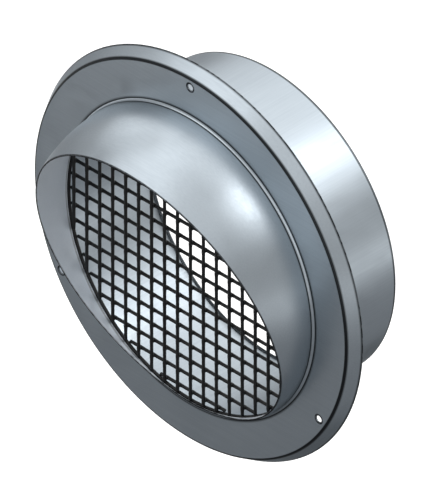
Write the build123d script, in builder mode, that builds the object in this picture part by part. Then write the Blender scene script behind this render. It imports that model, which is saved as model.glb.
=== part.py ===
from build123d import *
import os
from math import cos, radians, sqrt, tan

# External wall vent grille for a round 200 mm duct: a pressed bull-nose cowl, a spigot that goes
# into the wall, and a welded wire mesh held between the two.
# Millimetres. The duct's axis is Y and the wall's face is the plane Y = 0. The cowl stands in
# front of the wall towards -Y, the spigot runs into it towards +Y, and +Z is up.

# Duct spigot. Bends are given by their inside radius.
spigot_sheet = 0.8
spigot_radius = 99.5
spigot_reach = 56.3
collar_width = 11.0
collar_bend = 1.0
return_bend = 0.4

# Front cowl, all in one pressing. The dome is a little narrower than the spigot, and the face ring
# and its screw holes are laid out from the dome's foot.
cowl_sheet = 0.8
hood_step = 1.3
hood_bend = 1.7
mouth_tilt = 15.4
mouth_lip = 0.5
face_width = 24.1
face_standoff = 8.7
rim_flare = 31.2
rim_bend = 0.4
screw_count = 3
screw_hole_radius = 2.1
screw_inset = 5.6

# Mesh of round coated wires, welded to a round hoop
wires_each_side = 9
outer_wire_inset = 4.0
mesh_wire_radius = 1.0
wire_end_inset = 0.5
hoop_wire_radius = 1.0
trap_gap = 0.05

# Radii of the cowl, from the spigot outwards
hood_radius = spigot_radius - hood_step
face_radius = hood_radius + hood_bend + face_width
screw_circle_radius = face_radius - screw_inset

# Planes across the duct, from front to back
face_y = -face_standoff
collar_front_y = face_y + cowl_sheet
collar_back_y = collar_front_y + spigot_sheet


def write(part, label):
    """Label a finished piece and write it to its own file."""
    part.label = label
    export_step(part, f"parts/{label}.step")


os.makedirs("parts", exist_ok=True)

# Front cowl: the line is the outside of the sheet, from behind the wall's face up the flared
# rim, across the face ring and over the dome. The sheet's thickness lies on its inner side.
rim_overrun = 2 * cowl_sheet
rim_length = (face_standoff + rim_overrun) / cos(radians(rim_flare))
with BuildPart() as front_cowl:
    with BuildSketch(Plane.XY):
        with BuildLine():
            rim = PolarLine((face_radius, face_y), rim_length, 90 - rim_flare)
            face = Line((face_radius, face_y), (hood_radius, face_y))
            CenterArc((0, face_y), hood_radius, 0, -90)
            fillet(vertices().sort_by_distance(rim @ 0)[0], rim_bend + cowl_sheet)
            fillet(vertices().sort_by_distance(face @ 1)[0], hood_bend)
            offset(amount=-cowl_sheet, side=Side.LEFT)
        make_face()
    revolve(axis=Axis.Y)
    # The rim's back edge is trimmed flat on the wall
    split(bisect_by=Plane.XZ, keep=Keep.TOP)
    # The mouth is one slanting cut through the dome, drawn from the side. It stays in front of the
    # face ring and leaves a low lip at the bottom.
    with BuildSketch(Plane.YZ):
        with BuildLine():
            mouth_low_z = -hood_radius - mouth_lip / tan(radians(mouth_tilt))
            mouth = PolarLine((face_y, mouth_low_z), 3 * hood_radius, 90 + mouth_tilt)
            front_y = face_y - 2 * hood_radius
            Polyline(mouth @ 1, (front_y, (mouth @ 1).Y), (front_y, mouth_low_z), mouth @ 0)
        make_face()
    extrude(amount=2 * hood_radius, both=True, mode=Mode.SUBTRACT)
    with Locations(Plane.XZ.offset(face_standoff)):
        with PolarLocations(screw_circle_radius, screw_count, start_angle=90):
            Hole(screw_hole_radius, depth=2 * cowl_sheet)
write(front_cowl.part, "front_cowl")

# Duct spigot: the line is again the outside of the sheet, from the collar's rim inwards, back
# along the tube and round the half-round return that stiffens its rear edge.
return_radius = return_bend + spigot_sheet
with BuildPart() as duct_spigot:
    with BuildSketch(Plane.XY):
        with BuildLine():
            collar = Line(
                (spigot_radius + collar_width, collar_back_y),
                (spigot_radius, collar_back_y),
            )
            tube = Line(collar @ 1, (spigot_radius, spigot_reach - return_radius))
            CenterArc((spigot_radius - return_radius, spigot_reach - return_radius), return_radius, 0, 180)
            fillet(vertices().sort_by_distance(tube @ 0)[0], collar_bend)
            offset(amount=spigot_sheet, side=Side.LEFT)
        make_face()
    revolve(axis=Axis.Y)
write(duct_spigot.part, "duct_spigot")

# Mesh hoop: a round wire in the notch between the cowl's inner bend and the collar's bend. Its
# centre is found from its distances to the centres of those two bends.
cowl_bend_centre = Vector(sqrt((hood_radius + hood_bend) ** 2 - hood_bend**2), face_y - hood_bend)
collar_bend_centre = Vector(spigot_radius + collar_bend, collar_back_y + collar_bend)
cowl_distance = hood_bend + cowl_sheet + trap_gap + hoop_wire_radius
collar_distance = collar_bend + spigot_sheet + trap_gap + hoop_wire_radius
between = collar_bend_centre - cowl_bend_centre
along = (cowl_distance**2 - collar_distance**2 + between.length**2) / (2 * between.length)
inwards = sqrt(cowl_distance**2 - along**2)
to_collar = between.normalized()
hoop_centre = cowl_bend_centre + to_collar * along + Vector(-to_collar.Y, to_collar.X) * inwards
hoop_radius, hoop_y = hoop_centre.X, hoop_centre.Y
with BuildPart() as mesh_hoop:
    with BuildSketch(Plane.XY):
        with Locations((hoop_radius, hoop_y)):
            Circle(hoop_wire_radius)
    revolve(axis=Axis.Y)
write(mesh_hoop.part, "mesh_hoop")

# Mesh wires: upright wires in front and level wires behind, each touching the ones it crosses.
# They are spaced evenly from the middle wire to the outermost ones, which stand a little inside
# the hoop. Each lies half on the hoop, is notched to its round section and ends over it, short of
# the hoop's centre line.
mesh_pitch = (hoop_radius - hoop_wire_radius - outer_wire_inset) / wires_each_side
wire_end_radius = hoop_radius - wire_end_inset
upright_y = hoop_y - mesh_wire_radius
cross_y = hoop_y + mesh_wire_radius
for index in range(-wires_each_side, wires_each_side + 1):
    place = index * mesh_pitch
    half_length = sqrt(wire_end_radius**2 - (abs(place) + mesh_wire_radius) ** 2)
    with BuildPart() as upright_wire:
        with BuildSketch(Plane.XY.offset(-half_length)):
            with Locations((place, upright_y)):
                Circle(mesh_wire_radius)
        extrude(amount=2 * half_length)
        add(mesh_hoop.part, mode=Mode.SUBTRACT)
    with BuildPart() as cross_wire:
        with BuildSketch(Plane.YZ.offset(-half_length)):
            with Locations((cross_y, place)):
                Circle(mesh_wire_radius)
        extrude(amount=2 * half_length)
        add(mesh_hoop.part, mode=Mode.SUBTRACT)
    number = f"{index + wires_each_side + 1:02d}"
    write(upright_wire.part, f"upright_wire_{number}")
    write(cross_wire.part, f"cross_wire_{number}")
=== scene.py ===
import math

import bmesh
import bpy
import numpy as np
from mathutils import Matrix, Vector


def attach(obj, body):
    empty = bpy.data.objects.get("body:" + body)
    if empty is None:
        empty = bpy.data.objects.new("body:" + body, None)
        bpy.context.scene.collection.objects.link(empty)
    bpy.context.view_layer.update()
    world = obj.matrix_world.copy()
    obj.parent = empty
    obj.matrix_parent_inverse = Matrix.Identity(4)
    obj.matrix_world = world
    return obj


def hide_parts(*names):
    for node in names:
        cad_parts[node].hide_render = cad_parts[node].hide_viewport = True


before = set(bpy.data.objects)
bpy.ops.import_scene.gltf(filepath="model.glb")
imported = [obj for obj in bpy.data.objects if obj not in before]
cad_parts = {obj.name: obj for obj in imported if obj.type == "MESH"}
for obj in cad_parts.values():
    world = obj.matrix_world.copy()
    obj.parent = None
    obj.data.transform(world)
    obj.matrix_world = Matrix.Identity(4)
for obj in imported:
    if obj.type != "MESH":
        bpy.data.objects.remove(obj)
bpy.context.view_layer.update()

# Wall vent grille: a pressed bull-nose cowl, the duct spigot behind it and a coated wire mesh.
# Sizes are written in millimetres and turned to metres where a mesh is made. The duct's axis is Y,
# the wall's face is y = 0, the cowl faces -Y and +Z is up.
mm = 0.001


def toLinear(hexColour):
    # sRGB to linear: c / 12.92 up to 0.04045, otherwise ((c + 0.055) / 1.055) to the power 2.4
    channels = np.array([int(hexColour[i:i + 2], 16) / 255 for i in (1, 3, 5)])
    low = channels / 12.92
    high = ((channels + 0.055) / 1.055) ** 2.4
    return tuple(float(c) for c in np.where(channels <= 0.04045, low, high)) + (1.0,)


def addNode(tree, kind, settings={}, links={}):
    # settings hold input values or node properties, links join an input to another node's output
    node = tree.nodes.new(kind)
    for key, value in settings.items():
        if isinstance(key, int) or key in node.inputs:
            node.inputs[key].default_value = value
        else:
            setattr(node, key, value)
    for key, source in links.items():
        tree.links.new(source, node.inputs[key])
    return node


def newMaterial(name):
    material = bpy.data.materials.new(name)
    material.use_nodes = True
    material.node_tree.nodes.clear()
    return material, material.node_tree


def gridQuads(rows, columns, closeRows=False, closeColumns=False):
    # point (i, j) has index i * columns + j; each quad joins (i, j), (i, j+1), (i+1, j+1), (i+1, j)
    i = np.arange(rows if closeRows else rows - 1)[:, None]
    j = np.arange(columns if closeColumns else columns - 1)[None, :]
    nextI = (i + 1) % rows
    nextJ = (j + 1) % columns
    quads = np.stack(np.broadcast_arrays(i * columns + j, i * columns + nextJ,
                                         nextI * columns + nextJ, nextI * columns + j), axis=-1)
    return quads.reshape(-1, 4)


def capQuads(first, count, flip=False):
    # closes a ring of an even number of points, the lowest of which is first, with a strip of quads
    i = np.arange(count // 2 - 1)
    quads = first + np.stack([i, i + 1, count - 2 - i, count - 1 - i], axis=-1)
    return quads[:, ::-1] if flip else quads


def closedTube(rows, columns):
    # a grid closed round its columns, with its first and last row capped
    return np.concatenate([gridQuads(rows, columns, closeColumns=True), capQuads(0, columns, True),
                           capQuads((rows - 1) * columns, columns)])


def joinSeams(mesh):
    # points that lie together, where parts of a piece meet, become one
    work = bmesh.new()
    work.from_mesh(mesh)
    bmesh.ops.remove_doubles(work, verts=work.verts, dist=1e-7)
    work.to_mesh(mesh)
    work.free()


def makePiece(name, points, faces, material, marks={}, sharpAngle=35):
    # points are in millimetres; marks are one value per point, kept as attributes for the material
    mesh = bpy.data.meshes.new(name)
    mesh.from_pydata((points * mm).tolist(), [], faces.tolist())
    for markName, values in marks.items():
        attribute = mesh.attributes.new(markName, "FLOAT", "POINT")
        attribute.data.foreach_set("value", np.asarray(values, dtype=np.float32))
    joinSeams(mesh)
    mesh.materials.append(material)
    mesh.shade_smooth()
    mesh.set_sharp_from_angle(angle=math.radians(sharpAngle))
    mesh.update()
    piece = bpy.data.objects.new(name, mesh)
    bpy.context.scene.collection.objects.link(piece)
    return piece


def arcPoints(centre, radius, startDegrees, endDegrees, count):
    # points centre + radius * (cos a, sin a) for evenly spaced angles a
    angle = np.radians(np.linspace(startDegrees, endDegrees, count))
    return np.stack([centre[0] + radius * np.cos(angle), centre[1] + radius * np.sin(angle)], axis=1)


def linePoints(start, end, count):
    share = np.linspace(0, 1, count)[:, None]
    return (1 - share) * np.array(start) + share * np.array(end)


def revolve(radius, along, angle):
    # a point at distance R from the axis goes to (R cos a, y, R sin a)
    return np.stack([radius * np.cos(angle), along + 0 * angle, radius * np.sin(angle)], axis=-1)


print("stage: materials")

# Satin stainless sheet, rolled, brushed with a fine belt and then pressed: a cool grey metal with
# a soft broad highlight, fine straight scratches and duller handling marks.
steelLook = {
    "colour": "#C2CBD2",
    "grainColour": "#B2BCC4",
    "cutEdgeShadeColour": "#2A2C30",   # painted shade on the sheared edges and hole walls
    "bendShadeAndTintColour": "#0F1113",      # painted shade, a dark line along each side of a bend and along the edges; also the welds' heat tint
    "bendStrength": 0.95,
    "millPaintedLightColour": "#E6ECF2",      # the sheet's inner side, left dull as rolled; painted lighter than the outside, as painted light for the hood's shaded inside
    "roughness": 0.36,
    "grainRoughness": (-0.04, 0.05),      # added from the grain's lowest to its highest values
    "smudgeRoughness": (-0.05, 0.05),     # added from clean to handled places
    "millRoughness": 0.46,        # added on the inner side
    "grainWidth": 0.9,            # mm; a real belt leaves 0.1 mm lines, too fine to show here
    "grainLength": 45.0,          # mm
    "grainDetail": 3.0,
    "grainSpan": (0.3, 0.7),      # most of the grain's noise lies between these values
    "grainDepth": 0.012,          # mm
    "grainBump": 0.35,
    "smudgeSize": 38.0,           # mm
    "smudgeDetail": 4.0,
    "smudgeWarp": 0.6,
    "smudgeSpan": (0.35, 0.65),
}


def steelMaterial(name, grainAxis):
    look = steelLook
    material, tree = newMaterial(name)
    place = addNode(tree, "ShaderNodeTexCoord")
    across = 1000 / look["grainWidth"]
    along = 1000 / look["grainLength"]
    scale = tuple(along if axis == grainAxis else across for axis in "XYZ")
    stretched = addNode(tree, "ShaderNodeMapping", {"Scale": scale}, {"Vector": place.outputs["Object"]})
    grain = addNode(tree, "ShaderNodeTexNoise",
                    {"Scale": 1.0, "Detail": look["grainDetail"], "Roughness": 0.6},
                    {"Vector": stretched.outputs["Vector"]})
    smudge = addNode(tree, "ShaderNodeTexNoise",
                     {"Scale": 1000 / look["smudgeSize"], "Detail": look["smudgeDetail"],
                      "Roughness": 0.62, "Distortion": look["smudgeWarp"]},
                     {"Vector": place.outputs["Object"]})
    bend = addNode(tree, "ShaderNodeAttribute", {"attribute_name": "bendMark"})
    cut = addNode(tree, "ShaderNodeAttribute", {"attribute_name": "cutEdge"})
    millAndLight = addNode(tree, "ShaderNodeAttribute", {"attribute_name": "millSideAndPaintedLight"})
    tone = addNode(tree, "ShaderNodeMix",
                   {"data_type": "RGBA", 6: toLinear(look["colour"]), 7: toLinear(look["grainColour"])},
                   {0: grain.outputs["Fac"]})
    bendShare = addNode(tree, "ShaderNodeMath", {"operation": "MULTIPLY", 1: look["bendStrength"]},
                        {0: bend.outputs["Fac"]})
    # painted light: the inner side is painted lighter
    sided = addNode(tree, "ShaderNodeMix", {"data_type": "RGBA", 7: toLinear(look["millPaintedLightColour"])},
                    {0: millAndLight.outputs["Fac"], 6: tone.outputs[2]})
    # painted shade: dark lines along the bends and edges; the welds' heat tint uses the same colour
    marked = addNode(tree, "ShaderNodeMix", {"data_type": "RGBA", 7: toLinear(look["bendShadeAndTintColour"])},
                     {0: bendShare.outputs[0], 6: sided.outputs[2]})
    # painted shade on the cut edges
    edged = addNode(tree, "ShaderNodeMix", {"data_type": "RGBA", 7: toLinear(look["cutEdgeShadeColour"])},
                    {0: cut.outputs["Fac"], 6: marked.outputs[2]})
    smooth, coarse = look["grainRoughness"]
    grainRough = addNode(tree, "ShaderNodeMapRange",
                         {"From Min": look["grainSpan"][0], "From Max": look["grainSpan"][1],
                          "To Min": look["roughness"] + smooth, "To Max": look["roughness"] + coarse},
                         {"Value": grain.outputs["Fac"]})
    clean, handled = look["smudgeRoughness"]
    smudgeRough = addNode(tree, "ShaderNodeMapRange",
                          {"From Min": look["smudgeSpan"][0], "From Max": look["smudgeSpan"][1],
                           "To Min": clean, "To Max": handled}, {"Value": smudge.outputs["Fac"]})
    brushedRough = addNode(tree, "ShaderNodeMath", {"operation": "ADD"},
                           {0: grainRough.outputs[0], 1: smudgeRough.outputs[0]})
    rough = addNode(tree, "ShaderNodeMath", {"operation": "MULTIPLY_ADD", 1: look["millRoughness"]},
                    {0: millAndLight.outputs["Fac"], 2: brushedRough.outputs[0]})
    bump = addNode(tree, "ShaderNodeBump",
                   {"Strength": look["grainBump"], "Distance": look["grainDepth"] * mm},
                   {"Height": grain.outputs["Fac"]})
    shader = addNode(tree, "ShaderNodeBsdfPrincipled", {"Metallic": 1.0},
                     {"Base Color": edged.outputs[2], "Roughness": rough.outputs[0],
                      "Normal": bump.outputs["Normal"]})
    addNode(tree, "ShaderNodeOutputMaterial", {}, {"Surface": shader.outputs[0]})
    return material


brushedSteelPressing = steelMaterial("brushedSteelPressing", "X")   # grain lies level on the cowl
brushedSteelTube = steelMaterial("brushedSteelTube", "Y")           # grain runs along the tube

# Galvanised wire dipped in black polymer: an even soft sheen with slight orange peel and a little
# pale dust on what faces up.
coatLook = {
    "colour": "#060607",
    "dustColour": "#1E1F20",
    "roughness": 0.42,
    "dustRoughness": (-0.06, 0.10),       # added from clean to dusty places
    "dustScale": 90.0,            # per metre: patches of about 11 mm
    "dustDetail": 5.0,
    "dustSpan": (0.3, 0.7),       # most of the dust's noise lies between these values
    "peelSize": 1.6,              # mm
    "peelDetail": 2.0,
    "peelDepth": 0.02,            # mm
    "peelBump": 0.4,
}


def coatMaterial(name):
    look = coatLook
    material, tree = newMaterial(name)
    place = addNode(tree, "ShaderNodeTexCoord")
    peel = addNode(tree, "ShaderNodeTexNoise",
                   {"Scale": 1000 / look["peelSize"], "Detail": look["peelDetail"], "Roughness": 0.5},
                   {"Vector": place.outputs["Object"]})
    dust = addNode(tree, "ShaderNodeTexNoise",
                   {"Scale": look["dustScale"], "Detail": look["dustDetail"], "Roughness": 0.7},
                   {"Vector": place.outputs["Object"]})
    facing = addNode(tree, "ShaderNodeNewGeometry")
    upward = addNode(tree, "ShaderNodeSeparateXYZ", {}, {"Vector": facing.outputs["Normal"]})
    dusty = addNode(tree, "ShaderNodeMath", {"operation": "MULTIPLY", "use_clamp": True},
                    {0: upward.outputs["Z"], 1: dust.outputs["Fac"]})
    colour = addNode(tree, "ShaderNodeMix",
                     {"data_type": "RGBA", 6: toLinear(look["colour"]), 7: toLinear(look["dustColour"])},
                     {0: dusty.outputs[0]})
    clean, dusted = look["dustRoughness"]
    rough = addNode(tree, "ShaderNodeMapRange",
                    {"From Min": look["dustSpan"][0], "From Max": look["dustSpan"][1],
                     "To Min": look["roughness"] + clean, "To Max": look["roughness"] + dusted},
                    {"Value": dust.outputs["Fac"]})
    bump = addNode(tree, "ShaderNodeBump",
                   {"Strength": look["peelBump"], "Distance": look["peelDepth"] * mm},
                   {"Height": peel.outputs["Fac"]})
    shader = addNode(tree, "ShaderNodeBsdfPrincipled", {"Metallic": 0.0, "IOR": 1.5},
                     {"Base Color": colour.outputs[2], "Roughness": rough.outputs[0],
                      "Normal": bump.outputs["Normal"]})
    addNode(tree, "ShaderNodeOutputMaterial", {}, {"Surface": shader.outputs[0]})
    return material


blackPolymerCoat = coatMaterial("blackPolymerCoat")

print("stage: front cowl")

cowl = {
    "sheet": 0.8,
    "domeRadius": 98.2,
    "footBend": 1.7,              # inside radius of the bend at the dome's foot
    "faceRadius": 124.0,
    "standoff": 8.7,              # the face stands this far in front of the wall
    "rimFlare": 31.2,             # degrees
    "rimBend": 0.4,
    "mouthTilt": 15.4,            # degrees
    "mouthLip": 0.5,
    "holeRadius": 2.1,
    "holeCircle": 118.4,
    "holes": 3,
    "window": 4.5,                # half the height of the square patch round a hole
    "windowColumns": 3,           # half its width in columns; it is as many rows high
    "holeShadeRing": 1.1,             # width of the ring round a hole that is painted dark, as painted shade
    "ringFade": 0.2,              # the ring's mark fades out over this
    "holeChamfer": 0.12,
    "edgeRound": 0.14,
    "shadeLine": 0.7,               # width of the painted shade line along a bend or an edge
    "rimLine": 0.8,               # the line on the rim's back edge, as a share of that width
    "lastLine": 0.65,             # the mouth's, likewise
    "bendLead": 0.3,              # the rim's last row lies this far before its bend
    "shortFoot": 0.6,             # where the dome is short, its foot is at most this share of it
    "shortLine": 0.3,             # and a line this share of what is left
    "softMark": 0.5,              # of a line's darkness, on the row before the foot's bend
    "innerMark": 0.4,             # the inner side's lines, as a share of the outer side's
    "holeCut": 0.7,               # how dark the painted shade on the cut edges is, as shares
    "rimCut": 0.8,
    "mouthCut": 1.0,
    "columns": 384,
    "rimRows": 9,
    "bendRows": 7,
    "faceRows": 6,
    "footRows": 9,
    "domeRows": 45,
    "footSteps": 240,             # points in the fine table of the foot's bend and the dome
    "domeSteps": 4000,
    "domeEnd": 60,                # degrees up the dome; beyond the mouth in every column
}


def cowlProfiles():
    # outline of one skin of the sheet, t inwards from the outside: the rim's straight, its bend
    # and the face up to the dome's foot, then a fine table of the foot's bend and the dome
    c = cowl
    flare = math.radians(c["rimFlare"])
    faceY = -c["standoff"]
    bendRadius = c["rimBend"] + c["sheet"]
    turn = 90 - c["rimFlare"]                          # the bend turns the sheet by this angle
    tangent = bendRadius * math.tan(math.radians(turn / 2))
    bendCentre = (c["faceRadius"] - tangent, faceY + bendRadius)
    footRadius = c["domeRadius"] + c["footBend"]
    footCentre = (math.sqrt(footRadius ** 2 - c["footBend"] ** 2), faceY - c["footBend"])
    skins = []
    for t in (0.0, c["sheet"]):
        normal = np.array([math.cos(flare), -math.sin(flare)])
        start = np.array(bendCentre) + (bendRadius - t) * normal
        direction = np.array([math.sin(flare), math.cos(flare)])
        back = start + direction * (-start[1] / direction[1])
        bend = arcPoints(bendCentre, bendRadius - t, -c["rimFlare"], -90, c["bendRows"])
        domeStart = math.asin(c["footBend"] / footRadius)
        foot = arcPoints(footCentre, c["footBend"] + t, 90, 180 - math.degrees(domeStart),
                         c["footSteps"])
        psi = np.linspace(domeStart, math.radians(c["domeEnd"]), c["domeSteps"])
        ball = c["domeRadius"] - t
        dome = np.stack([ball * np.cos(psi), faceY - ball * np.sin(psi)], axis=1)
        skins.append({"back": back, "bend": bend, "face": faceY + t, "foot": foot, "dome": dome})
    return skins


def mouthRows(skin, angle):
    # The mouth is the plane y = -(standoff + lip) - (z + domeRadius) tan(tilt). Each column of the
    # dome ends where its profile meets that plane, less the edge's rounding, and its rows share the
    # length
    c = cowl
    table = np.concatenate([skin["foot"], skin["dome"][1:]])
    length = np.concatenate([[0], np.cumsum(np.linalg.norm(np.diff(table, axis=0), axis=1))])
    footLength = length[len(skin["foot"]) - 1]
    tilt = math.tan(math.radians(c["mouthTilt"]))
    ahead = (table[None, :, 1] + c["standoff"] + c["mouthLip"]
             + (table[None, :, 0] * np.sin(angle)[:, None] + c["domeRadius"]) * tilt)
    last = np.argmax(ahead < 0, axis=1)
    rows = np.arange(len(angle))
    before, after = ahead[rows, last - 1], ahead[rows, last]
    end = length[last - 1] + (length[last] - length[last - 1]) * before / (before - after)
    stop = end - c["edgeRound"]
    knee = np.minimum(footLength, c["shortFoot"] * stop)
    share = np.linspace(0, 1, c["footRows"])[:, None]
    more = np.linspace(0, 1, c["domeRows"])[1:, None]
    line = np.minimum(c["shadeLine"], c["shortLine"] * (stop - knee))
    where = np.concatenate([share * knee, [knee + line], knee + line + more * (stop - knee - 2 * line),
                            [stop - c["lastLine"] * line, stop]])
    surface = revolve(np.interp(where, length, table[:, 0]), np.interp(where, length, table[:, 1]), angle)
    edge = revolve(np.interp(end, length, table[:, 0]), np.interp(end, length, table[:, 1]), angle)
    return surface, edge


def makeCowl():
    c = cowl
    n = c["columns"]
    angle = math.pi / 2 + np.arange(n) * 2 * math.pi / n
    half = c["windowColumns"]
    points, faces, bendMark, cutEdge, millSideAndPaintedLight = [], [], [], [], []
    offset = 0

    def addPart(grid, quads, bend=0.0, cut=0.0, millAndLight=0.0):
        nonlocal offset
        flat = grid.reshape(-1, 3)
        points.append(flat)
        faces.append(quads + offset)
        bendMark.append(np.broadcast_to(bend, grid.shape[:-1]).reshape(-1))
        cutEdge.append(np.full(len(flat), cut))
        millSideAndPaintedLight.append(np.full(len(flat), millAndLight))
        offset += len(flat)

    skins = cowlProfiles()
    ends = []
    for number, skin in enumerate(skins):
        outward = number == 0
        back, bend, faceY = skin["back"], skin["bend"], skin["face"]
        down = (bend[0] - back) / np.linalg.norm(bend[0] - back)
        rimStart = back + down * c["edgeRound"]
        rim = linePoints(rimStart + down * c["shadeLine"] * c["rimLine"], bend[0] - down * c["bendLead"],
                         c["rimRows"])
        outerBand = c["holeCircle"] + c["window"]
        band = linePoints((outerBand, faceY), (c["holeCircle"] - c["window"], faceY), 2 * half + 1)
        footStart = skin["foot"][0][0]
        inner = linePoints(band[-1], (footStart + 2 * c["shadeLine"], faceY), c["faceRows"])[1:]
        lastFlat = np.array([(footStart + c["shadeLine"], faceY)])
        profile = np.concatenate([[rimStart], rim, bend, band, inner, lastFlat])
        flatPart = revolve(profile[:, 0:1], profile[:, 1:2], angle[None, :])
        bandStart = 1 + len(rim) + len(bend)
        dome, mouthEdge = mouthRows(skin, angle)
        grid = np.concatenate([flatPart, dome])
        footStartRow = len(profile)
        footEndRow = footStartRow + c["footRows"]
        # painted shade: dark lines along the bends and edges
        mark = np.zeros(grid.shape[:2])
        mark[:2] = 1.0                                  # the rim's back edge
        mark[len(rim):bandStart] = 1.0                  # the rim's bend
        mark[footStartRow - 1] = c["softMark"]          # both sides of the foot's bend
        mark[footStartRow:footStartRow + 2] = 1.0
        mark[footEndRow - 2:footEndRow] = 1.0
        mark[-2:] = 1.0                                 # the mouth's edge
        quads = gridQuads(len(grid), n, closeColumns=True).reshape(len(grid) - 1, n, 4)
        keep = np.ones(quads.shape[:2], dtype=bool)
        for hole in range(c["holes"]):
            columns = (hole * n // c["holes"] + np.arange(-half, half)) % n
            keep[bandStart:bandStart + 2 * half, columns] = False
        quads = quads[keep]
        # the inner side is rougher, and painted lighter as painted light
        millAndLight = 0.0 if outward else 1.0
        mark *= 1.0 if outward else c["innerMark"]
        addPart(grid, quads if outward else quads[:, ::-1], mark, millAndLight=millAndLight)
        ends.append((back, rimStart, mouthEdge, dome[-1]))

        # Each window goes from its square edge to the hole: two rings that blend the square with
        # the circle, then circles
        for hole in range(c["holes"]):
            columns = hole * n // c["holes"] + np.arange(-half, half + 1)
            square = grid[bandStart:bandStart + 2 * half + 1][:, columns % n]
            border = np.concatenate([square[0, :-1], square[:-1, -1], square[-1, :0:-1],
                                     square[:0:-1, 0]])
            centreAngle = angle[hole * n // c["holes"]]
            centre = c["holeCircle"] * np.array([math.cos(centreAngle), 0, math.sin(centreAngle)])
            centre[1] = faceY
            arm = border - centre
            unit = arm / np.linalg.norm(arm, axis=1)[:, None]
            away = c["holeRadius"] + np.array([c["holeShadeRing"] + c["ringFade"], c["holeShadeRing"],
                                               c["holeChamfer"]])
            circles = centre + unit * away[:, None, None]
            share = np.array([0, 0.5])[:, None, None]
            patch = np.concatenate([(1 - share) * border + share * circles[0], circles])
            patchQuads = gridQuads(len(patch), len(border), closeColumns=True)
            ringMark = np.array([0, 0, 0, 1.0, 1.0])[:, None]       # painted shade, on the two circles next to it
            addPart(patch, patchQuads if outward else patchQuads[:, ::-1], ringMark, millAndLight=millAndLight)
            if outward:
                # the hole's wall, with its two edges broken
                chamfer = c["holeChamfer"]
                depth = np.array([0, chamfer, c["sheet"] - chamfer, c["sheet"]])
                reach = np.array([chamfer, 0, 0, chamfer])
                wall = centre + unit * (c["holeRadius"] + reach)[:, None, None]
                wall[..., 1] += depth[:, None]
                addPart(wall, gridQuads(len(wall), len(border), closeColumns=True), cut=c["holeCut"])

    # Sheared edges, painted dark as painted shade: the rim's back edge on the wall and the mouth's edge,
    # each with two small chamfers between the skins
    (backOut, rimOut, mouthOut, lastOut), (backIn, rimIn, mouthIn, lastIn) = ends
    across = (backIn - backOut) / np.linalg.norm(backIn - backOut)
    edge = np.stack([rimOut, backOut + across * c["edgeRound"], backIn - across * c["edgeRound"], rimIn])
    rimEdge = revolve(edge[:, 0:1], edge[:, 1:2], angle[None, :])
    addPart(rimEdge, gridQuads(len(edge), n, closeColumns=True)[:, ::-1], cut=c["rimCut"])
    gap = mouthIn - mouthOut
    step = gap / np.linalg.norm(gap, axis=1)[:, None] * c["edgeRound"]
    mouth = np.stack([lastOut, mouthOut + step, mouthIn - step, lastIn])
    addPart(mouth, gridQuads(len(mouth), n, closeColumns=True), cut=c["mouthCut"])

    piece = makePiece("cowlPressing", np.concatenate(points), np.concatenate(faces),
                      brushedSteelPressing,
                      {"bendMark": np.concatenate(bendMark), "cutEdge": np.concatenate(cutEdge),
                       "millSideAndPaintedLight": np.concatenate(millSideAndPaintedLight)})
    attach(piece, "root")
    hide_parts("front_cowl")


makeCowl()

print("stage: duct spigot")

spigot = {
    "sheet": 0.8,
    "radius": 99.5,
    "reach": 56.3,
    "collarWidth": 11.0,
    "collarBend": 1.0,
    "returnBend": 0.4,
    "edgeRound": 0.12,
    "rearLine": 0.7,              # width of the painted shade line in front of the return
    "rearFade": 1.0,              # the line is gone this far in front of it
    "returnStart": 176,           # degrees; the return's outside starts past its edge's chamfer
    "bendMark": 0.5,              # how dark the painted shade on the bends, the return and the cut edges is, as shares
    "returnMark": 0.8,
    "edgeCut": 0.7,
    "seamAngle": 138.0,           # degrees; the rolled tube's butt weld
    "seamHeight": 0.12,
    "seamMark": 0.30,
    "seamEnd": 2.0,               # the bead ends this far in front of the return
    "seamEdge": 0.02,             # its tint reaches down to this share of its height
    "spotWelds": 9,               # join the collar to the back of the face ring
    "spotRadius": 2.6,
    "spotHeight": 0.10,
    "spotSink": 0.01,
    "spotMark": 0.42,
    "spotTurn": 0.25,             # the first weld's place, as a share of the step between them
    "spotColumns": 20,
    "columns": 320,
    "collarRows": 8,
    "bendRows": 9,
    "tubeRows": 14,
    "returnRows": 15,
}


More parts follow.
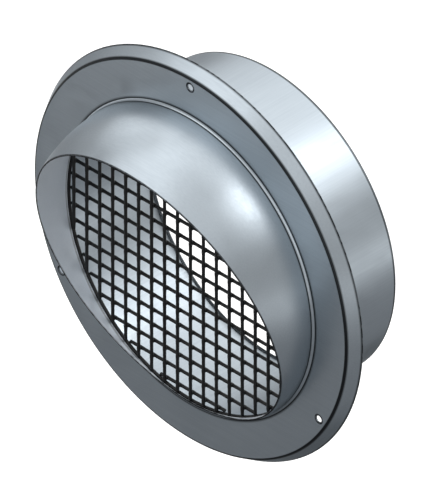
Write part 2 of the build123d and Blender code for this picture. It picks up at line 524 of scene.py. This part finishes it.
def makeSpigot():
    # closed outline of the sheet, turned about the axis: collar front, bend, tube inside, return,
    # its edge, return outside, tube outside, bend and collar back
    s = spigot
    front = -cowl["standoff"] + cowl["sheet"]
    back = front + s["sheet"]
    e = s["edgeRound"]
    rimRadius = s["radius"] + s["collarWidth"]
    bendCentre = (s["radius"] + s["collarBend"], back + s["collarBend"])
    rollRadius = s["returnBend"] + s["sheet"]
    rollCentre = (s["radius"] - rollRadius, s["reach"] - rollRadius)
    bore = s["radius"] - s["sheet"]
    legIn = s["radius"] - rollRadius - s["returnBend"]
    legOut = s["radius"] - 2 * rollRadius
    tube, bend, flat = s["tubeRows"], s["bendRows"], s["collarRows"]
    soft, dark, cut = s["bendMark"], s["returnMark"], s["edgeCut"]
    rollY = rollCentre[1]
    # each run: its points, bend mark (painted shade), cut edge (painted shade) and inner side (rougher, and
    # painted lighter as painted light)
    runs = [
        (linePoints((rimRadius - e, front), (bendCentre[0], front), flat)[:-1], 0, 0, 1),
        (arcPoints(bendCentre, s["collarBend"] + s["sheet"], 270, 180, bend)[:-1], soft, 0, 1),
        (linePoints((bore, bendCentre[1]), (bore, rollY), tube)[:-1], 0, 0, 0),
        (arcPoints(rollCentre, s["returnBend"], 0, 180, bend)[:-1], soft, 0, 0),
        (np.array([(legIn, rollY + e), (legIn - e, rollY), (legOut + e, rollY),
                   (legOut, rollY + e)]), 0, cut, 0),
        (arcPoints(rollCentre, rollRadius, s["returnStart"], 0, s["returnRows"])[:-1], dark, 0, 0),
        (linePoints((s["radius"], rollY), (s["radius"], rollY - s["rearLine"]), 2), dark, 0, 0),
        (linePoints((s["radius"], rollY - s["rearFade"]), (s["radius"], bendCentre[1]), tube)[:-1],
         0, 0, 0),
        (arcPoints(bendCentre, s["collarBend"], 180, 270, bend)[:-1], soft, 0, 0),
        (linePoints((bendCentre[0], back), (rimRadius - e, back), flat), 0, 0, 0),
        (np.array([(rimRadius, back - e), (rimRadius, front + e)]), 0, cut, 0),
    ]
    profile = np.concatenate([run[0] for run in runs])
    marks = {name: np.concatenate([np.full(len(run[0]), run[place]) for run in runs])
             for place, name in ((1, "bendMark"), (2, "cutEdge"), (3, "millSideAndPaintedLight"))}
    angle = np.arange(s["columns"]) * 2 * math.pi / s["columns"]
    # the seam's bead is a narrow bump exp(-(d / 1 mm)^2) at distance d round the tube's outside
    aside = (angle - math.radians(s["seamAngle"])) * s["radius"]
    seam = np.exp(-aside ** 2)[None, :]
    outside = np.abs(profile[:, 0] - s["radius"]) < 0.01
    onTube = (outside & (profile[:, 1] < rollY - s["seamEnd"]))[:, None]
    grid = revolve(profile[:, 0:1] + s["seamHeight"] * seam * onTube, profile[:, 1:2], angle[None, :])
    quads = gridQuads(len(profile), s["columns"], closeRows=True, closeColumns=True)
    alongTube = (profile[:, 1] > bendCentre[1])[:, None]
    spread = np.ones((1, s["columns"]))
    fields = {name: values[:, None] * spread for name, values in marks.items()}
    tint = s["seamMark"] * alongTube * (seam > s["seamEdge"])
    fields["bendMark"] = np.maximum(fields["bendMark"], tint)
    piece = makePiece("spigotTube", grid.reshape(-1, 3), quads, brushedSteelTube,
                      {name: field.ravel() for name, field in fields.items()})
    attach(piece, "root")
    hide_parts("duct_spigot")


def makeSpotWelds():
    # shallow lenses on the collar's back: height h (1 - (r / R)^2), the heat's tint round the edge
    s = spigot
    back = -cowl["standoff"] + cowl["sheet"] + s["sheet"]
    ringRadius = s["radius"] + s["collarBend"] + (s["collarWidth"] - s["collarBend"]) / 2
    share = np.array([1.0, 0.92, 0.7, 0.4, 0.1])[:, None]        # r / R of the rings of points
    heat = np.array([1.0, 0.9, 0.2, 0.1, 0.3])                   # and their tint
    n = s["spotColumns"]
    turn = (np.arange(n) * 2 * math.pi / n)[None, :]
    height = s["spotHeight"] * (1 - share ** 2) - s["spotSink"] * (share == 1.0)
    lens = np.stack([s["spotRadius"] * share * np.cos(turn), height + 0 * turn,
                     s["spotRadius"] * share * np.sin(turn)], axis=-1).reshape(-1, 3)
    place = (np.arange(s["spotWelds"]) + s["spotTurn"]) * 2 * math.pi / s["spotWelds"]
    centre = np.stack([ringRadius * np.cos(place), 0 * place + back, ringRadius * np.sin(place)], axis=1)
    points = (centre[:, None, :] + lens[None]).reshape(-1, 3)
    quads = closedTube(len(share), n)[:, ::-1]
    faces = (quads[None] + (np.arange(len(centre)) * len(lens))[:, None, None]).reshape(-1, 4)
    tint = np.tile(np.repeat(heat, n) * s["spotMark"], len(centre))
    piece = makePiece("collarSpotWelds", points, faces, brushedSteelTube, {"bendMark": tint})
    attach(piece, "root")


makeSpigot()
makeSpotWelds()

print("stage: wire mesh")

mesh = {
    "wireRadius": 1.0,
    "hoopWireRadius": 1.0,
    "trapGap": 0.05,
    "outerInset": 4.0,
    "endInset": 0.5,
    "wiresEachSide": 9,
    "sides": 14,                  # points round a wire
    "swell": 0.16,                # the coat is this much thicker, as a share, where wires cross
    "swellLength": 1.5,
    "swellRows": [-2.6, -1.6, -0.8, 0, 0.8, 1.6, 2.6],
    "swellInset": 2.0,            # a crossing nearer to the wire's end than this has no swell
    "rowInset": 0.6,              # and the rows of points stop this far from it
    "tipPlaces": [0.5, 0.2, 0.06, 0.0],            # distances from a wire's end, which is rounded
    "tipShares": [1.0, 0.93, 0.75, 0.45],          # of the wire's radius there
    "weldWidth": 1.35,
    "weldDepth": 0.85,
    "weldRows": 7,
    "weldColumns": 8,
    "weldLatitude": 80,           # degrees; the fillings are capped flat there
    "weldInset": 1.0,             # none is nearer to the hoop than this
    "hoopColumns": 300,
    "hoopSides": 16,
}


def hoopPlace():
    # the hoop lies in the notch between the cowl's foot bend and the collar's bend
    faceY = -cowl["standoff"]
    radius = mesh["hoopWireRadius"]
    footRadius = cowl["domeRadius"] + cowl["footBend"]
    foot = np.array([math.sqrt(footRadius ** 2 - cowl["footBend"] ** 2), faceY - cowl["footBend"]])
    collar = np.array([spigot["radius"] + spigot["collarBend"],
                       faceY + cowl["sheet"] + spigot["sheet"] + spigot["collarBend"]])
    fromFoot = cowl["footBend"] + cowl["sheet"] + mesh["trapGap"] + radius
    fromCollar = spigot["collarBend"] + spigot["sheet"] + mesh["trapGap"] + radius
    between = collar - foot
    span = np.linalg.norm(between)
    along = (fromFoot ** 2 - fromCollar ** 2 + span ** 2) / (2 * span)
    aside = math.sqrt(fromFoot ** 2 - along ** 2)
    unit = between / span
    return foot + unit * along + np.array([-unit[1], unit[0]]) * aside, radius


hoopCentre, hoopWire = hoopPlace()
# from the middle wire to the outermost, which stands a little inside the hoop
pitch = (hoopCentre[0] - hoopWire - mesh["outerInset"]) / mesh["wiresEachSide"]
wireIndex = np.arange(-mesh["wiresEachSide"], mesh["wiresEachSide"] + 1)


def makeHoop():
    # torus: the section's circle (r cos b, r sin b) carried round the axis at the hoop's radius
    n = mesh["hoopColumns"]
    section = arcPoints(hoopCentre, hoopWire, 0, 360, mesh["hoopSides"] + 1)[:-1]
    angle = np.arange(n) * 2 * math.pi / n
    grid = revolve(section[:, 0:1], section[:, 1:2], angle[None, :])
    quads = gridQuads(len(section), n, closeRows=True, closeColumns=True)
    piece = makePiece("meshHoop", grid.reshape(-1, 3), quads[:, ::-1], blackPolymerCoat)
    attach(piece, "root")
    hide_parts("mesh_hoop")


def makeWire(index, upright):
    # a round bar along s; its radius is r (1 + swell * sum of exp(-((s - crossing) / length)^2)),
    # and its coated ends are rounded off over the hoop
    m = mesh
    place = index * pitch
    endRadius = hoopCentre[0] - m["endInset"]
    halfLength = math.sqrt(endRadius ** 2 - (abs(place) + m["wireRadius"]) ** 2)
    crossings = wireIndex * pitch
    crossings = crossings[np.abs(crossings) < halfLength - m["swellInset"]]
    along = np.unique(np.round((crossings[:, None] + m["swellRows"]).ravel(), 4))
    along = along[np.abs(along) < halfLength - m["rowInset"]]
    swell = np.exp(-((along[:, None] - crossings) / m["swellLength"]) ** 2).sum(axis=1)
    radius = m["wireRadius"] * (1 + m["swell"] * swell)
    tip = np.array(m["tipPlaces"])
    tipRadius = m["wireRadius"] * np.array(m["tipShares"])
    along = np.concatenate([(tip - halfLength)[::-1], along, halfLength - tip])
    radius = np.concatenate([tipRadius[::-1], radius, tipRadius])
    turn = np.arange(m["sides"]) * 2 * math.pi / m["sides"]
    first = radius[:, None] * np.cos(turn)
    second = radius[:, None] * np.sin(turn)
    run = along[:, None] + 0 * turn
    if upright:
        grid = np.stack([place + first, hoopCentre[1] - m["wireRadius"] + second, run], axis=-1)
    else:
        grid = np.stack([run, hoopCentre[1] + m["wireRadius"] + first, place + second], axis=-1)
    quads = closedTube(len(along), m["sides"])
    number = f"{index + m['wiresEachSide'] + 1:02d}"
    name = ("meshUpright" if upright else "meshCross") + number
    piece = makePiece(name, grid.reshape(-1, 3), quads, blackPolymerCoat, sharpAngle=60)
    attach(piece, "root")
    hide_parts(("upright_wire_" if upright else "cross_wire_") + number)


def makeWelds():
    # at each crossing the coat fills the corners: an ellipsoid of few faces between the wires
    m = mesh
    rows, columns = m["weldRows"], m["weldColumns"]
    x, z = np.meshgrid(wireIndex * pitch, wireIndex * pitch)
    inside = np.hypot(x, z) < hoopCentre[0] - hoopWire - m["weldInset"]
    centre = np.stack([x[inside], np.full(inside.sum(), hoopCentre[1]), z[inside]], axis=1)
    lift = np.radians(np.linspace(-m["weldLatitude"], m["weldLatitude"], rows))[:, None]
    turn = ((np.arange(columns) + 0.5) * 2 * math.pi / columns)[None, :]
    blob = np.stack([m["weldWidth"] * np.cos(lift) * np.cos(turn),
                     m["weldDepth"] * np.sin(lift) + 0 * turn,
                     m["weldWidth"] * np.cos(lift) * np.sin(turn)], axis=-1).reshape(-1, 3)
    points = (centre[:, None, :] + blob[None]).reshape(-1, 3)
    quads = closedTube(rows, columns)[:, ::-1]
    faces = (quads[None] + (np.arange(len(centre)) * len(blob))[:, None, None]).reshape(-1, 4)
    piece = makePiece("meshWelds", points, faces, blackPolymerCoat, sharpAngle=80)
    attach(piece, "root")


makeHoop()
for upright in (True, False):
    for index in wireIndex:
        makeWire(int(index), upright)
makeWelds()

print("stage: floor and light")

studio = {
    "floorHeight": -0.5,          # m; well below, so that its soft shadow stays out of the view
    "floorRings": [1e-4, 0.5, 1.5, 3.5, 7.0],      # radii of its rings of points, in m
    "floorColumns": 64,
    "floorColour": "#E9E9E8",
    "floorGlow": 0.62,
    "worldColour": "#FFFFFF",
    "worldStrength": 0.44,
    "boxDistance": 1.6,           # m, from the object to each softbox
}


def makeFloor():
    # a flat grid of rings (r cos a, r sin a, height), down to a pinhole under the object
    radius = np.array(studio["floorRings"])[:, None] * 1000
    angle = (np.arange(studio["floorColumns"]) * 2 * math.pi / studio["floorColumns"])[None, :]
    grid = np.stack([radius * np.cos(angle), radius * np.sin(angle),
                     studio["floorHeight"] * 1000 + 0 * radius * angle], axis=-1)
    material, tree = newMaterial("paleFloorPaper")      # matt backdrop paper
    light = addNode(tree, "ShaderNodeLightPath")
    seen = addNode(tree, "ShaderNodeMath", {"operation": "MAXIMUM"},
                   {0: light.outputs["Is Camera Ray"], 1: light.outputs["Is Glossy Ray"]})
    shown = addNode(tree, "ShaderNodeMath", {"operation": "MAXIMUM"},
                    {0: seen.outputs[0], 1: light.outputs["Is Transmission Ray"]})
    strength = addNode(tree, "ShaderNodeMath", {"operation": "MULTIPLY", 1: studio["floorGlow"]},
                       {0: shown.outputs[0]})
    paper = addNode(tree, "ShaderNodeBsdfDiffuse", {"Color": toLinear(studio["floorColour"])})
    glow = addNode(tree, "ShaderNodeEmission", {"Color": (1.0, 1.0, 1.0, 1.0)},
                   {"Strength": strength.outputs[0]})
    both = addNode(tree, "ShaderNodeAddShader", {}, {0: paper.outputs[0], 1: glow.outputs[0]})
    addNode(tree, "ShaderNodeOutputMaterial", {}, {"Surface": both.outputs[0]})
    floor = makePiece("studioFloor", grid.reshape(-1, 3),
                      gridQuads(*grid.shape[:2], closeColumns=True), material)


cards = {
    "height": -0.42,              # m, as are all lengths of the cards
    "grey": "#8C8D8F",
    "dark": "#626466",
    "standing": "#B3B4B6",
    "standingTop": 0.10,
    "standingAway": 1.08,
    "standingAngles": (-12, 44),  # degrees
    "standingColumns": 8,
}


def addCard(name, colour, grid):
    # a matt card that only reflections see; grid is its corners and middles in metres
    material, tree = newMaterial(name + "Paper")        # matt card
    paper = addNode(tree, "ShaderNodeBsdfDiffuse", {"Color": toLinear(cards[colour])})
    addNode(tree, "ShaderNodeOutputMaterial", {}, {"Surface": paper.outputs[0]})
    piece = makePiece(name, grid.reshape(-1, 3) * 1000, gridQuads(*grid.shape[:2]), material)
    piece.visible_camera = False
    piece.visible_shadow = False


def makeLyingCard(name, colour, near, far, start, end):
    # below and in front, just outside the photograph's frame; near and far are measured away from
    # the camera, start and end to its right
    back = np.array([-1, 1]) / math.sqrt(2)
    right = np.array([1, 1]) / math.sqrt(2)
    ahead = np.linspace(near, far, 3)[:, None]
    side = np.linspace(start, end, 3)[None, :]
    addCard(name, colour, np.stack([ahead * back[0] + side * right[0], ahead * back[1] + side * right[1],
                                    np.full((3, 3), cards["height"])], axis=-1))


def makeStandingCard():
    # on the floor to the left, an arc (-R cos a, R sin a, z) round the object
    angle = np.radians(np.linspace(*cards["standingAngles"], cards["standingColumns"]))[None, :]
    height = np.linspace(studio["floorHeight"], cards["standingTop"], 3)[:, None]
    away = cards["standingAway"]
    addCard("standingCard", "standing",
            np.stack([-away * np.cos(angle) + 0 * height, away * np.sin(angle) + 0 * height,
                      height + 0 * angle], axis=-1))


def addSoftbox(name, direction, size, radiance):
    # a round softbox facing the object; its power is radiance * pi * area
    lamp = bpy.data.lights.new(name, "AREA")
    lamp.shape = "DISK"
    lamp.size = size
    lamp.energy = radiance * math.pi * math.pi * (size / 2) ** 2
    box = bpy.data.objects.new(name, lamp)
    way = Vector(direction).normalized()
    box.location = way * studio["boxDistance"]
    box.rotation_euler = (-way).to_track_quat("-Z", "Y").to_euler()
    box.visible_camera = False
    bpy.context.scene.collection.objects.link(box)


makeFloor()
makeLyingCard("greyCardLeft", "grey", 0.36, -1.60, -1.20, -0.28)        # mirrored in the face
makeLyingCard("darkCard", "dark", 0.36, -0.16, -0.28, 0.30)             # in the undersides
makeLyingCard("greyCardFront", "grey", -0.16, -1.60, -0.28, 0.30)
makeLyingCard("greyCardRight", "grey", 0.36, -1.60, 0.30, 1.20)         # in the dome's right side
makeStandingCard()                                                      # in the dome's left side
# each softbox stands where the part that it lights mirrors it: direction, size in m, radiance
addSoftbox("overheadSoftbox", (-0.15, 0.47, 0.87), 1.7, 0.90)           # rim and top of the spigot
addSoftbox("frontSoftbox", (-0.40, -0.32, 0.86), 1.5, 1.00)             # dome's left half
addSoftbox("fillSoftbox", (0.35, -0.42, 0.84), 1.5, 0.45)               # dome beside the mouth
addSoftbox("leftSoftbox", (-0.76, 0.36, 0.55), 1.0, 0.85)               # dome's left edge
addSoftbox("rearSoftbox", (0.44, 0.82, 0.37), 0.9, 1.7)                 # inside of the tube and hood
addSoftbox("keySoftbox", (0.36, 0.55, 0.75), 0.32, 2.0)                 # band on the spigot
addSoftbox("domeSoftbox", (0.52, 0.35, 0.78), 0.86, 2.8)                # dome's highlight
addSoftbox("hoodSoftbox", (0.50, -0.80, 0.30), 1.0, 1.0)                # inside of the hood, from the front

world = bpy.data.worlds.new("studioWorld")
world.use_nodes = True
world.node_tree.nodes["Background"].inputs["Color"].default_value = toLinear(studio["worldColour"])
world.node_tree.nodes["Background"].inputs["Strength"].default_value = studio["worldStrength"]
bpy.context.scene.world = world
bpy.context.scene.view_settings.view_transform = "Standard"

print("stage: camera")

view = {
    "pixel": 0.5637 * mm,         # one pixel of the 431 x 497 frame, in metres on the object
    "height": 497,
    "aimRight": 25.36,            # from the face's centre to the middle of the frame, in pixels
    "aimUp": 10.6,
    "distance": 1.5,
}


def makeCamera():
    # isometric: the camera looks along (-1, 1, -1) with no perspective
    right = Vector((1, 1, 0)).normalized()
    out = Vector((1, -1, 1)).normalized()
    up = out.cross(right)
    aim = Vector((0, -cowl["standoff"] * mm, 0))
    aim += right * view["aimRight"] * view["pixel"] + up * view["aimUp"] * view["pixel"]
    data = bpy.data.cameras.new("isometricCamera")
    data.type = "ORTHO"
    data.ortho_scale = view["height"] * view["pixel"]
    camera = bpy.data.objects.new("isometricCamera", data)
    camera.location = aim + out * view["distance"]
    camera.rotation_euler = (-out).to_track_quat("-Z", "Y").to_euler()
    bpy.context.scene.collection.objects.link(camera)
    bpy.context.scene.camera = camera


makeCamera()
